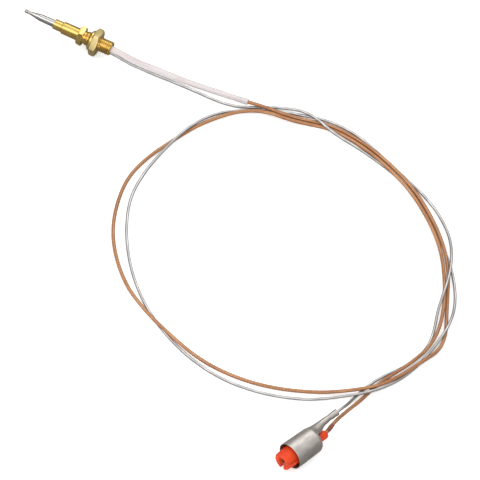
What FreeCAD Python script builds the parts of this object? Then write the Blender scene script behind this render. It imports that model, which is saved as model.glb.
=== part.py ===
"""Gas-hob thermocouple: probe and clamping fitting, two long leads and a plug.

Row frame in millimetres: the origin is on the fitting's axis at the rear face of
the hexagonal collar, +X runs along the fitting towards the leads, +Z is up.
The leads lie on a floor that the mounting nut also touches.
"""
import FreeCAD, Part
import math
import os
import Sketcher
from FreeCAD import Placement, Rotation, Vector

SHEET = "Dimensions"

DIMENSIONS = {
    # stations along the fitting, from the probe's end to the rear
    "bead_front": -36.0, "bead_rear": -34.0, "waist_rear": -32.2, "cone_rear": -26.5,
    "barrel_front": -18.0, "sheath_rear": -13.4, "barrel_groove": -13.2, "pilot_front": -12.8,
    "spigot_rear": -8.0, "collar_front": -3.3, "relief_front": -0.2, "seat": 0.0, "undercut_rear": 0.9,
    "cavity_front": 1.0, "stub_rear": 16.5, "powder_front": -31.0, "bead_half_length": 1.24,
    # diameters of the fitting
    "bead_width": 2.3, "waist_width": 1.9, "cone_width": 3.9, "sheath_width": 4.3,
    "barrel_width": 5.8, "groove_width": 5.3, "spigot_width": 5.0, "pilot_width": 7.0,
    "undercut_width": 7.0, "relief_width": 8.1, "thread_width": 8.0, "core_width": 0.8, "core_channel": 1.0,
    "powder_width": 2.8, "body_bore": 3.2, "cavity_bore": 6.2,
    "collar_flats": 10.0, "chamfer_share": 0.96, "chamfer_depth": 0.75, "chamfer_reach": 1.3,
    # the loose nut and its dished washer
    "nut_front": 5.2, "nut_rear": 9.3, "nut_flats": 14.0, "nut_bore": 8.08, "nut_rest_turn": 48.0,
    "nut_chamfer_reach": 1.6, "nut_chamfer_depth": 0.9,
    "washer_front": 3.1, "washer_thickness": 1.0, "washer_rear": 5.16, "washer_bore": 8.14,
    "washer_small": 9.0, "washer_large": 11.6,
    # what joins the leads inside the fitting
    "core_rear": 3.6, "splice_front": 1.6, "splice_rear": 7.3, "splice_width": 2.2,
    "strand_front": 3.8, "strand_width": 1.1, "lead_offset_y": -0.4, "lead_offset_z": 0.5,
    "earth_front": 3.2, "earth_rear": 8.0, "earth_width": 0.9, "earth_y": -0.95, "earth_z": -2.05,
    "braze_front": 3.0, "braze_rear": 6.4, "braze_width": 1.9,
    "potting_front": 9.4, "potting_rear": 13.4, "sleeve_front": 8.6,
    # leads and sleeve
    "brown_width": 2.0, "silver_width": 1.6, "sleeve_width": 3.6, "sleeve_bore": 2.2,
    # plug, measured along its own axis from the shell's front rim
    "plug_x": 214.2, "plug_y": -201.8, "plug_z": 0.1, "plug_heading": 68.95,
    "shell_rim": 0.0, "shell_front_width": 15.6, "shell_rear_width": 14.8, "shell_wall": 0.5,
    "shell_shoulder": 17.3, "shell_length": 18.9, "shell_end_width": 11.8,
    "tail_offset": 4.4, "tail_turn": 24.1, "neck_width": 5.2, "neck_wall": 0.5,
    "barrel_start": 28.7, "neck_hollow_rear": 28.2, "tail_rear": 39.5,
    "crimp_width": 3.7, "crimp_bore": 1.7, "crimp_bore_front": 30.0,
    "insert_front": -6.0, "insert_nose_width": 10.0, "insert_face_width": 10.5,
    "insert_mouth_width": 11.2, "insert_nose": -5.6, "insert_mouth": 0.5,
    "flange_front": 9.0, "insert_rear": 14.0, "flange_width": 13.9, "insert_bore": 3.5,
    "slot_width": 2.3, "slot_rear": 0.5, "slot_turn": 259.0,
    "contact_front": -5.2, "contact_step": 5.5, "contact_rear": 9.0,
    "contact_width": 3.5, "contact_bore": 2.2, "contact_neck": 2.6, "contact_slot": 0.5,
    "contact_hole": 1.04, "contact_hole_front": 7.0,
    "bush_front": 12.0, "bush_rear": 26.3, "bush_width": 4.9, "bush_y": -1.34, "bush_z": -0.6,
    "bush_hole_width": 5.0, "link_width": 1.0, "earth_end_length": 2.2,
    "ferrule_width": 2.7, "ferrule_start": 0.28, "ferrule_end": 0.94,   # shares of a run
    "overshoot": 1.0,         # how far a cutting tool stands out of what it cuts
}

# Route of the brown lead: splice, heat sleeve, first turn of the loop, second turn, plug.
BROWN_ROUTE = [
    (8.0, -0.4, 0.5), (19.0, -0.3, 0.7), (30.0, 0.3, -1.8), (41.0, 2.4, -3.8),
    (52.0, 3.9, -5.2), (64.0, 5.2, -5.8), (77.0, 6.7, -5.8), (89.5, 8.2, -5.6),
    (100.5, 9.5, -4.9), (109.5, 10.5, -4.9), (118.5, 11.8, -5.6), (128.5, 14.9, -6.7),
    (140.5, 18.2, -6.7), (154.5, 17.4, -6.4), (169.0, 13.2, -4.8), (184.0, 7.5, -4.8),
    (197.5, 0.8, -4.8), (210.5, -8.8, -4.8), (222.0, -19.5, -4.8), (231.5, -31.0, -4.8),
    (239.0, -44.0, -4.8), (244.5, -57.5, -5.9), (249.3, -69.5, -6.7), (253.8, -80.5, -6.7),
    (254.8, -92.0, -6.0), (250.5, -103.0, -4.8), (246.3, -113.0, -4.8), (241.5, -122.5, -4.8),
    (235.5, -131.5, -4.5), (228.0, -138.5, -4.5), (219.0, -144.5, -5.6), (208.5, -150.5, -6.7),
    (190.5, -158.5, -6.7), (172.0, -163.0, -6.7), (153.0, -163.5, -6.7), (138.5, -161.5, -5.7),
    (125.5, -157.5, -4.8), (113.0, -152.5, -4.8), (101.0, -146.0, -5.5), (88.5, -137.0, -6.6),
    (76.0, -123.0, -6.7), (66.5, -107.0, -6.7), (61.0, -88.5, -6.7), (59.0, -69.5, -6.7),
    (63.0, -51.5, -6.7), (70.0, -35.0, -6.7), (77.0, -19.5, -6.7), (85.0, -8.0, -6.5),
    (92.3, -0.6, -5.4), (100.5, 4.9, -4.8), (109.5, 8.0, -4.8), (119.5, 9.4, -5.6),
    (129.0, 12.5, -6.7), (140.7, 15.9, -6.7), (154.0, 15.1, -6.4), (168.3, 10.9, -4.8),
    (183.2, 5.2, -4.8), (196.5, -1.4, -4.8), (209.2, -10.8, -4.8), (220.5, -21.3, -4.8),
    (229.7, -32.5, -4.8), (237.0, -45.3, -4.8), (243.0, -58.3, -4.8), (247.3, -71.0, -4.8),
    (249.5, -82.5, -4.8), (249.3, -94.0, -4.8), (246.3, -104.5, -4.8), (242.3, -114.2, -4.9),
    (237.5, -122.9, -6.1), (234.0, -131.8, -6.7), (231.8, -141.0, -6.7), (230.0, -149.8, -4.3),
    (228.1, -159.7, -0.9), (225.9, -169.2, 0.4), (225.04, -177.36, -0.5), (222.27, -184.55, -0.5),
]

# Route of the silver lead, which leaves the fitting under the sleeve.
SILVER_ROUTE = [
    (8.0, -0.95, -2.05), (18.5, -1.0, -1.95), (28.0, -1.5, -3.7), (39.5, 0.3, -5.7),
    (53.0, 1.8, -6.9), (67.0, 2.2, -6.9), (81.0, 2.0, -6.9), (91.5, 4.2, -6.9),
    (99.5, 8.2, -6.9), (107.0, 13.0, -6.9), (115.0, 16.4, -6.5), (123.7, 18.4, -5.2),
    (132.5, 17.2, -4.5), (140.5, 14.0, -4.5), (149.0, 12.8, -5.9), (160.0, 12.0, -6.9),
    (172.0, 9.2, -6.9), (184.0, 5.9, -6.9), (197.0, 0.3, -6.9), (210.0, -8.8, -6.9),
    (221.5, -19.2, -6.9), (231.5, -30.0, -6.9), (240.0, -40.0, -6.9), (246.5, -51.0, -6.9),
    (250.8, -62.0, -6.2), (252.7, -73.0, -4.7), (252.6, -84.0, -4.6), (251.0, -95.5, -6.0),
    (248.5, -107.0, -6.9), (244.5, -119.0, -6.9), (239.0, -129.5, -5.6), (232.5, -138.5, -4.4),
    (224.5, -145.5, -4.4), (215.0, -152.0, -6.0), (202.0, -159.5, -6.9), (181.5, -166.5, -6.9),
    (158.5, -168.5, -6.9), (136.0, -163.5, -6.9), (114.0, -152.5, -6.9), (96.5, -138.0, -6.9),
    (82.5, -120.5, -6.9), (72.0, -101.0, -6.9), (65.5, -81.0, -6.9), (65.5, -61.5, -6.9),
    (67.8, -47.5, -6.2), (71.0, -34.5, -4.6), (74.6, -22.5, -4.7), (80.2, -10.5, -6.1),
    (86.5, -2.4, -6.9), (93.8, 2.6, -6.9), (101.5, 7.0, -6.9), (109.0, 11.2, -6.9),
    (117.0, 14.4, -6.9), (124.5, 16.8, -6.9), (134.0, 19.6, -6.9), (145.0, 20.9, -6.9),
    (157.5, 19.4, -6.9), (170.5, 14.6, -6.9), (183.5, 8.9, -6.9), (195.0, 4.6, -6.9),
    (206.0, 0.0, -6.9), (217.5, -7.2, -6.9), (229.0, -19.0, -5.8), (236.0, -33.0, -3.4),
    (240.0, -46.5, -2.7), (241.8, -58.0, -2.7), (243.5, -69.0, -5.2), (246.8, -80.0, -6.9),
    (248.3, -91.0, -6.9), (246.6, -102.5, -6.9), (242.0, -112.0, -6.9), (236.5, -120.0, -6.9),
    (232.0, -128.5, -6.9), (229.3, -136.5, -6.9), (227.4, -144.5, -6.0), (227.0, -152.5, -2.1),
    (226.25, -159.3, 1.9), (223.56, -166.3, 1.9),
]

ARC_SHARE = 0.45          # part of the shorter run that each arc of a lead takes up
SLEEVE_LAST_POINT = 7     # the sleeve ends on the straight run after this point of the route
VOLUME_TOLERANCE = 0.01
SMALLEST_CUT = 0.05       # cubic millimetres

doc = FreeCAD.newDocument("Thermocouple")
sheet = doc.addObject("Spreadsheet::Sheet", SHEET)
for row, (alias, number) in enumerate(DIMENSIONS.items(), start=1):
    sheet.set("A%d" % row, alias)
    sheet.set("B%d" % row, str(number))
    sheet.setAlias("B%d" % row, alias)
doc.recompute()

sub_parts = []


def size(alias):
    """The number that a named cell of the sheet holds."""
    return float(sheet.get(alias))


def cell(alias):
    """The expression that reads a named cell."""
    return "%s.%s" % (SHEET, alias)


def derived(alias, formula):
    """Adds a named cell that is worked out from others."""
    cells_used = len([name for name in sheet.PropertiesList if name.startswith("D")])
    sheet.set("D%d" % (cells_used + 1), "=" + formula)
    sheet.setAlias("D%d" % (cells_used + 1), alias)
    doc.recompute()


def origin_plane(body, role):
    """One of the body's own origin planes."""
    return [feature for feature in body.Origin.OriginFeatures if feature.Role == role][0]


def new_body(label):
    """An empty PartDesign body that becomes one sub-part."""
    body = doc.addObject("PartDesign::Body", label)
    sub_parts.append(body)
    return body


def hold_point(sketch, line, along, width):
    """Ties the start of a line to a station along X and to half of a width from the axis."""
    if size(along) == 0:
        sketch.addConstraint(Sketcher.Constraint("PointOnObject", line, 1, -2))
    else:
        datum = Sketcher.Constraint("DistanceX", -1, 1, line, 1, size(along))
        sketch.setExpression("Constraints[%d]" % sketch.addConstraint(datum), cell(along))
    if width is None:
        sketch.addConstraint(Sketcher.Constraint("PointOnObject", line, 1, -1))
    else:
        datum = Sketcher.Constraint("DistanceY", -1, 1, line, 1, size(width) / 2)
        sketch.setExpression("Constraints[%d]" % sketch.addConstraint(datum), cell(width) + " / 2")


def profile(body, name, corners):
    """A closed profile on the XY plane; each corner is a station and a diameter, None on the axis."""
    sketch = body.newObject("Sketcher::SketchObject", name)
    sketch.AttachmentSupport = [(origin_plane(body, "XY_Plane"), "")]
    sketch.MapMode = "FlatFace"
    points = [Vector(size(along), size(width) / 2 if width else 0, 0) for along, width in corners]
    for start, end in zip(points, points[1:] + points[:1]):
        sketch.addGeometry(Part.LineSegment(start, end), False)
    for line in range(len(corners)):
        following = (line + 1) % len(corners)
        sketch.addConstraint(Sketcher.Constraint("Coincident", line, 2, following, 1))
    for line, (along, width) in enumerate(corners):
        hold_point(sketch, line, along, width)
    return sketch


def turn(body, name, corners):
    """A solid of revolution about X."""
    feature = body.newObject("PartDesign::Revolution", name)
    feature.Profile = profile(body, name + "Profile", corners)
    feature.ReferenceAxis = (feature.Profile[0], ["H_Axis"])
    feature.Angle = 360.0
    return feature


def turned_piece(label, corners):
    """A sub-part that is one turning."""
    body = new_body(label)
    turn(body, label + "Turning", corners)
    return body


def groove(body, name, corners):
    """Cuts a turned groove or chamfer about X."""
    feature = body.newObject("PartDesign::Groove", name)
    feature.Profile = profile(body, name + "Profile", corners)
    feature.ReferenceAxis = (feature.Profile[0], ["H_Axis"])
    feature.Angle = 360.0
    return feature


def primitive(body, kind, name, along, expressions, across=(0, 0), roll=0):
    """A PartDesign primitive that stands on the YZ plane and points along +X."""
    feature = body.newObject("PartDesign::" + kind, name)
    feature.AttachmentSupport = [(origin_plane(body, "YZ_Plane"), "")]
    feature.MapMode = "FlatFace"
    feature.AttachmentOffset = Placement(Vector(across[0], across[1], along),
                                         Rotation(Vector(0, 0, 1), roll))
    for name_of_property, expression in expressions.items():
        feature.setExpression(name_of_property, expression)
    return feature


def hexagon(body, name, front, rear, flats, roll):
    """A hexagonal bar along X; its corners start at the roll angle from +Y."""
    feature = primitive(body, "AdditivePrism", name, size(front),
                        {"Circumradius": cell(flats) + " / sqrt(3)",
                         "Height": "%s - %s" % (cell(rear), cell(front))}, roll=roll)
    feature.Polygon = 6
    return feature


def chamfer_hexagon(body, name, face, flats, reach, depth, inward):
    """Turned chamfer on a hexagon: removes what lies outside a cone from the face's edge."""
    derived(name + "_edge", "%s * chamfer_share" % flats)
    derived(name + "_outer", "%s * chamfer_share + 2 * %s" % (flats, reach))
    derived(name + "_inside", "%s + %s * %s" % (face, inward, depth))
    derived(name + "_outside", "%s - %s * %s" % (face, inward, depth))
    return groove(body, name, [(face, name + "_edge"), (name + "_inside", name + "_outer"),
                               (name + "_outside", name + "_outer")])


# ---------------------------------------------------------------- probe


def make_hot_junction_bead():
    """Rounded weld bead that closes the sheath and joins it to the core wire."""
    middle = size("bead_front") + size("bead_half_length")
    rear_share = (size("bead_rear") - middle) / size("bead_half_length")
    bead = doc.addObject("Part::Ellipsoid", "hot_junction_bead")
    bead.setExpression("Radius1", cell("bead_half_length"))
    bead.setExpression("Radius2", cell("bead_width") + " / 2")
    bead.Radius3 = 0
    bead.Angle1 = -math.degrees(math.asin(rear_share))
    bead.Placement = Placement(Vector(middle, 0, 0), Rotation(Vector(0, 1, 0), -90))
    sub_parts.append(bead)


def make_sensing_sheath():
    """Stainless sheath: waist behind the bead, cone, then a slightly tapered tube."""
    turned_piece("sensing_sheath", [
        ("bead_rear", "core_channel"), ("bead_rear", "waist_width"), ("waist_rear", "waist_width"),
        ("cone_rear", "cone_width"), ("barrel_front", "sheath_width"),
        ("sheath_rear", "sheath_width"), ("sheath_rear", "powder_width"),
        ("cone_rear", "powder_width"), ("powder_front", "core_channel")])


def make_probe_inside():
    """Core wire of the couple and the pressed ceramic that holds it centred."""
    turned_piece("ceramic_insulator", [
        ("cone_rear", "core_channel"), ("cone_rear", "powder_width"),
        ("sheath_rear", "powder_width"), ("sheath_rear", "core_channel")])
    return turned_piece("constantan_core", [
        ("bead_rear", None), ("bead_rear", "core_width"),
        ("core_rear", "core_width"), ("core_rear", None)])


def make_front_collar():
    """Brass barrel that grips the sheath; its spigot is pressed into the mounting body."""
    turned_piece("front_collar", [
        ("barrel_front", "sheath_width"), ("barrel_front", "barrel_width"),
        ("barrel_groove", "barrel_width"), ("barrel_groove", "groove_width"),
        ("pilot_front", "groove_width"), ("pilot_front", "spigot_width"),
        ("spigot_rear", "spigot_width"), ("spigot_rear", "body_bore"),
        ("sheath_rear", "body_bore"), ("sheath_rear", "sheath_width")])


# ---------------------------------------------------------------- fitting


def make_mounting_body():
    """Pilot, hexagonal collar and threaded stub in one brass turning."""
    body = new_body("mounting_body")
    turn(body, "BodyTurning", [
        ("pilot_front", "spigot_width"), ("pilot_front", "pilot_width"),
        ("seat", "pilot_width"), ("undercut_rear", "undercut_width"),
        ("undercut_rear", "thread_width"), ("stub_rear", "thread_width"),
        ("stub_rear", "cavity_bore"), ("cavity_front", "cavity_bore"),
        ("cavity_front", "body_bore"), ("spigot_rear", "body_bore"),
        ("spigot_rear", "spigot_width")])
    hexagon(body, "Collar", "collar_front", "seat", "collar_flats", 0)
    primitive(body, "SubtractiveCylinder", "CollarChannel", size("collar_front"),
              {"Radius": cell("body_bore") + " / 2",
               "Height": "%s - %s" % (cell("seat"), cell("collar_front"))})
    groove(body, "ThreadRelief", [
        ("relief_front", "undercut_width"), ("relief_front", "relief_width"),
        ("seat", "relief_width"), ("seat", "undercut_width")])
    chamfer_hexagon(body, "collar_front_chamfer", "collar_front", "collar_flats",
                    "chamfer_reach", "chamfer_depth", 1)
    chamfer_hexagon(body, "collar_rear_chamfer", "seat", "collar_flats",
                    "chamfer_reach", "chamfer_depth", -1)
    return body


def make_mounting_nut():
    """Chamfered hexagonal nut, loose on the stub's thread."""
    body = new_body("mounting_nut")
    hexagon(body, "NutBlank", "nut_front", "nut_rear", "nut_flats", size("nut_rest_turn"))
    primitive(body, "SubtractiveCylinder", "NutBore", size("nut_front"),
              {"Radius": cell("nut_bore") + " / 2",
               "Height": "%s - %s" % (cell("nut_rear"), cell("nut_front"))})
    chamfer_hexagon(body, "nut_front_chamfer", "nut_front", "nut_flats",
                    "nut_chamfer_reach", "nut_chamfer_depth", 1)
    chamfer_hexagon(body, "nut_rear_chamfer", "nut_rear", "nut_flats",
                    "nut_chamfer_reach", "nut_chamfer_depth", -1)


def make_dished_washer():
    """Conical spring washer in front of the nut, wide side towards the nut."""
    derived("washer_front_inside", "washer_front + washer_thickness")
    derived("washer_rear_inside", "washer_rear - washer_thickness")
    turned_piece("dished_washer", [
        ("washer_front", "washer_bore"), ("washer_front", "washer_small"),
        ("washer_rear_inside", "washer_large"), ("washer_rear", "washer_large"),
        ("washer_front_inside", "washer_bore")])


def cylinder(name, diameter, start, end):
    """A Part cylinder from one point to another."""
    rod = doc.addObject("Part::Cylinder", name)
    rod.setExpression("Radius", diameter + " / 2")
    rod.Height = (end - start).Length
    rod.Placement = Placement(start, Rotation(Vector(0, 0, 1), end - start))
    return rod


def cut(label, base, tools):
    """The base without what the tools take up, as one sub-part."""
    for number, tool in enumerate(tools, start=1):
        last = number == len(tools)
        result = doc.addObject("Part::Cut", label if last else "%s_stage_%d" % (label, number))
        result.Base = base
        result.Tool = tool
        base = result
    sub_parts.append(result)
    return result


# ---------------------------------------------------------------- leads


def route_edges(route):
    """Straight runs and tangent arcs along a route; the arcs are as large as the runs allow."""
    points = [Vector(*point) for point in route]
    edges = []
    radii = []
    last = points[0]
    for before, corner, after in zip(points, points[1:], points[2:]):
        towards = (before - corner).normalize()
        onwards = (after - corner).normalize()
        half_turn = (math.pi - towards.getAngle(onwards)) / 2
        reach = ARC_SHARE * min((before - corner).Length, (after - corner).Length)
        radius = reach / math.tan(half_turn)
        middle_way = (towards + onwards).normalize()
        centre_distance = radius / math.cos(half_turn)
        arc_start = corner + towards * reach
        arc_middle = corner + middle_way * (centre_distance - radius)
        arc_end = corner + onwards * reach
        edges.append(Part.LineSegment(last, arc_start).toShape())
        edges.append(Part.Arc(arc_start, arc_middle, arc_end).toShape())
        radii.append(radius)
        last = arc_end
    edges.append(Part.LineSegment(last, points[-1]).toShape())
    return edges, radii


def tube_along(edges, diameter):
    """A round solid swept along the edges; its volume is compared with section times length."""
    spine = Part.Wire(edges)
    start = edges[0].firstVertex().Point
    direction = edges[0].tangentAt(edges[0].FirstParameter)
    section = Part.Wire([Part.Circle(start, direction, diameter / 2).toShape()])
    tube = spine.makePipeShell([section], True, False)
    expected = math.pi * diameter ** 2 / 4 * spine.Length
    if abs(tube.Volume - expected) > VOLUME_TOLERANCE * expected:
        raise ValueError("a lead's tube has the wrong volume")
    return tube


def lead_feature(label, shape):
    """A sub-part that holds the shape of a lead or sleeve."""
    feature = doc.addObject("Part::Feature", label)
    feature.Shape = shape
    feature.Placement = Placement()
    sub_parts.append(feature)
    return feature


def make_leads():
    """The two leads and the heat sleeve that covers the start of the brown one."""
    brown_edges, brown_radii = route_edges(BROWN_ROUTE)
    silver_edges, silver_radii = route_edges(SILVER_ROUTE)
    brown = lead_feature("brown_lead", tube_along(brown_edges, size("brown_width")))
    lead_feature("silver_lead", tube_along(silver_edges, size("silver_width")))
    for name, edges, radii in (("brown", brown_edges, brown_radii),
                               ("silver", silver_edges, silver_radii)):
        length = sum(edge.Length for edge in edges)
        print("%s lead: length %.1f, smallest radius %.1f" % (name, length, min(radii)))
    covered = brown_edges[:2 * SLEEVE_LAST_POINT + 1]
    first, last = covered[0], covered[-1]
    mouth = (last.firstVertex().Point + last.lastVertex().Point) / 2
    start = first.firstVertex().Point
    end = first.lastVertex().Point
    share = (size("sleeve_front") - start.x) / (end.x - start.x)
    covered[0] = Part.LineSegment(start + (end - start) * share, end).toShape()
    covered[-1] = Part.LineSegment(last.firstVertex().Point, mouth).toShape()
    outside = tube_along(covered, size("sleeve_width"))
    inside = tube_along(covered, size("sleeve_bore"))
    lead_feature("heat_sleeve", outside.cut(inside))
    return brown


def make_joints_inside(mounting_body, core):
    """Splice, bare strand, earth wire, braze and potting inside the fitting's cavity."""
    lead_y, lead_z = size("lead_offset_y"), size("lead_offset_z")
    strand_start = Vector(size("strand_front"), lead_y, lead_z)
    strand_end = Vector(*BROWN_ROUTE[0])
    strand = cylinder("copper_strand", cell("strand_width"), strand_start, strand_end)
    sub_parts.append(strand)
    splice_barrel = cylinder("SpliceBarrel", cell("splice_width"),
                             Vector(size("splice_front"), lead_y / 2, lead_z / 2),
                             Vector(size("splice_rear"), lead_y, lead_z))
    cut("lead_splice", splice_barrel, [core, strand])
    earth_start = Vector(size("earth_front"), size("earth_y"), size("earth_z"))
    earth_end = Vector(size("earth_rear"), size("earth_y"), size("earth_z"))
    earth = cylinder("earth_wire_end", cell("earth_width"), earth_start, earth_end)
    sub_parts.append(earth)
    bead = cylinder("BrazeBead", cell("braze_width"),
                    Vector(size("braze_front"), size("earth_y"), size("earth_z")),
                    Vector(size("braze_rear"), size("earth_y"), size("earth_z")))
    cut("earth_braze", bead, [earth, mounting_body])
    plug_of_cement = cylinder("PottingBlank", cell("cavity_bore"),
                              Vector(size("potting_front"), 0, 0),
                              Vector(size("potting_rear"), 0, 0))
    filled_sleeve = cylinder("PottedSleeve", cell("sleeve_width"),
                             Vector(*BROWN_ROUTE[0]), Vector(*BROWN_ROUTE[1]))
    filled_silver = cylinder("PottedSilver", cell("silver_width"),
                             Vector(*SILVER_ROUTE[0]), Vector(*SILVER_ROUTE[1]))
    cut("rear_potting", plug_of_cement, [filled_sleeve, filled_silver])


# ---------------------------------------------------------------- plug


def plug_placement():
    """Places what is modelled along X, from the shell's front rim, where the plug lies."""
    return Placement(Vector(size("plug_x"), size("plug_y"), size("plug_z")),
                     Rotation(Vector(0, 0, 1), size("plug_heading")))


def make_plug_shell():
    """Drawn steel shell with a shouldered rear end and a crimp tail in one piece."""
    derived("shell_front_inside", "shell_front_width - 2 * shell_wall")
    derived("shell_rear_inside", "shell_rear_width - 2 * shell_wall")
    derived("shell_floor", "shell_length - shell_wall")
    body = new_body("plug_shell")
    turn(body, "ShellCup", [
        ("shell_rim", "shell_front_inside"), ("shell_rim", "shell_front_width"),
        ("shell_shoulder", "shell_rear_width"), ("shell_length", "shell_end_width"),
        ("shell_length", None), ("shell_floor", None), ("shell_floor", "shell_end_width"),
        ("shell_shoulder", "shell_rear_inside")])
    away = math.radians(size("tail_turn"))
    tail_y = size("tail_offset") * math.cos(away)
    tail_z = size("tail_offset") * math.sin(away)
    primitive(body, "AdditiveCone", "TailNeck", size("shell_floor"),
              {"Radius1": cell("neck_width") + " / 2", "Radius2": cell("crimp_width") + " / 2",
               "Height": "%s - %s" % (cell("barrel_start"), cell("shell_floor"))},
              across=(tail_y, tail_z))
    primitive(body, "AdditiveCylinder", "CrimpBarrel", size("barrel_start"),
              {"Radius": cell("crimp_width") + " / 2",
               "Height": "%s - %s" % (cell("tail_rear"), cell("barrel_start"))},
              across=(tail_y, tail_z))
    primitive(body, "SubtractiveCone", "NeckHollow", size("shell_floor") - size("overshoot"),
              {"Radius1": "%s / 2 - %s" % (cell("neck_width"), cell("neck_wall")),
               "Radius2": "%s / 2 - %s" % (cell("crimp_width"), cell("neck_wall")),
               "Height": "%s - %s + %s" % (cell("neck_hollow_rear"), cell("shell_floor"),
                                           cell("overshoot"))},
              across=(tail_y, tail_z))
    primitive(body, "SubtractiveCylinder", "CrimpBore", size("crimp_bore_front"),
              {"Radius": cell("crimp_bore") + " / 2",
               "Height": "%s - %s" % (cell("tail_rear"), cell("crimp_bore_front"))},
              across=(tail_y, tail_z))
    primitive(body, "SubtractiveCylinder", "BushHole", size("shell_shoulder"),
              {"Radius": cell("bush_hole_width") + " / 2",
               "Height": "%s - %s + %s" % (cell("shell_length"), cell("shell_shoulder"),
                                           cell("overshoot"))},
              across=(size("bush_y"), size("bush_z")))
    body.Placement = plug_placement()


def make_plug_insert():
    """Insulating insert: nose in front of the shell, flange inside it, keying slot."""
    body = new_body("plug_insert")
    turn(body, "InsertTurning", [
        ("insert_front", "insert_bore"), ("insert_front", "insert_nose_width"),
        ("insert_nose", "insert_face_width"), ("insert_mouth", "insert_mouth_width"),
        ("flange_front", "insert_mouth_width"), ("flange_front", "flange_width"),
        ("insert_rear", "flange_width"), ("insert_rear", "insert_bore")])
    half_slot = size("slot_width") / 2
    away = math.radians(size("slot_turn"))
    primitive(body, "SubtractiveBox", "KeySlot", size("insert_front") - size("overshoot"),
              {"Length": cell("insert_mouth_width"), "Width": cell("slot_width"),
               "Height": "%s - %s + %s" % (cell("slot_rear"), cell("insert_front"),
                                           cell("overshoot"))},
              across=(half_slot * math.sin(away), -half_slot * math.cos(away)),
              roll=size("slot_turn"))
    primitive(body, "SubtractiveCylinder", "BushSeat", size("bush_front"),
              {"Radius": cell("bush_hole_width") + " / 2",
               "Height": "%s - %s + %s" % (cell("insert_rear"), cell("bush_front"),
                                           cell("overshoot"))},
              across=(size("bush_y"), size("bush_z")))
    body.Placement = plug_placement()


def make_centre_contact():
    """Female contact: split tube in front, hollow neck behind for the link wire."""
    body = new_body("centre_contact")
    turn(body, "ContactTurning", [
        ("contact_front", "contact_bore"), ("contact_front", "contact_width"),
        ("contact_step", "contact_width"), ("contact_step", "contact_neck"),
        ("contact_rear", "contact_neck"), ("contact_rear", "contact_hole"),
        ("contact_hole_front", "contact_hole"), ("contact_hole_front", None),
        ("contact_step", None), ("contact_step", "contact_bore")])
    primitive(body, "SubtractiveBox", "ContactSlit", size("contact_front") - size("overshoot"),
              {"Length": cell("contact_width"), "Width": cell("contact_slot"),
               "Height": "%s - %s" % (cell("contact_step"), cell("contact_front"))},
              across=(0, -size("contact_slot") / 2))
    body.Placement = plug_placement()


def make_plug_wiring(brown):
    """Rear bush, link wire to the contact, ferrule on the lead and bare wire in the crimp."""
    place = plug_placement()
    bush_start = place.multVec(Vector(size("bush_front"), size("bush_y"), size("bush_z")))
    bush_end = place.multVec(Vector(size("bush_rear"), size("bush_y"), size("bush_z")))
    lead_end = Vector(*BROWN_ROUTE[-1])
    contact_end = place.multVec(Vector(size("contact_hole_front"), 0, 0))
    bend = place.multVec(Vector(size("bush_front"), 0, 0))
    front_link = cylinder("LinkInContact", cell("link_width"), contact_end, bend)
    rear_link = cylinder("LinkInBush", cell("link_width"), bend, lead_end)
    ball = doc.addObject("Part::Sphere", "LinkBend")
    ball.setExpression("Radius", cell("link_width") + " / 2")
    ball.Placement = Placement(bend, Rotation())
    link = doc.addObject("Part::MultiFuse", "link_wire")
    link.Shapes = [front_link, ball, rear_link]
    sub_parts.append(link)
    bush_blank = cylinder("BushBlank", cell("bush_width"), bush_start, bush_end)
    cut("rear_bush", bush_blank, [brown, link])
    from_corner = Vector(*BROWN_ROUTE[-3])
    to_corner = Vector(*BROWN_ROUTE[-2])
    ferrule_blank = cylinder("FerruleBlank", cell("ferrule_width"),
                             from_corner + (to_corner - from_corner) * size("ferrule_start"),
                             from_corner + (to_corner - from_corner) * size("ferrule_end"))
    cut("wire_ferrule", ferrule_blank, [brown])
    bare_length = place.Rotation.multVec(Vector(-size("earth_end_length"), 0, 0))
    crimp_wire = cylinder("silver_wire_end", cell("earth_width"), Vector(*SILVER_ROUTE[-1]),
                          Vector(*SILVER_ROUTE[-1]) + bare_length)
    sub_parts.append(crimp_wire)


make_hot_junction_bead()
make_sensing_sheath()
constantan_core = make_probe_inside()
make_front_collar()
mounting_body = make_mounting_body()
make_dished_washer()
make_mounting_nut()
brown_lead = make_leads()
make_joints_inside(mounting_body, constantan_core)
make_plug_shell()
make_plug_insert()
make_centre_contact()
make_plug_wiring(brown_lead)

doc.recompute()
for feature in doc.Objects:
    if "Invalid" in feature.State or "Error" in feature.State:
        raise RuntimeError("%s did not rebuild: %s" % (feature.Label, feature.State))
    takes_away = feature.TypeId == "PartDesign::Groove" or "Subtractive" in feature.TypeId
    if takes_away and feature.Shape.Volume > feature.BaseFeature.Shape.Volume - SMALLEST_CUT:
        raise RuntimeError("%s cuts nothing" % feature.Label)
os.makedirs("parts", exist_ok=True)
for sub_part in sub_parts:
    shape = sub_part.Shape
    if shape.isNull() or not shape.isValid():
        raise RuntimeError("%s has no valid shape" % sub_part.Label)
    print("%-20s volume %9.2f solids %d" % (sub_part.Label, shape.Volume, len(shape.Solids)))
    shape.exportStep("parts/%s.step" % sub_part.Label)
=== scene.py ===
"""Looks of the gas-hob thermocouple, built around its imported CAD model."""
import math

import bmesh
import bpy
from mathutils import Matrix, Vector, noise


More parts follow.
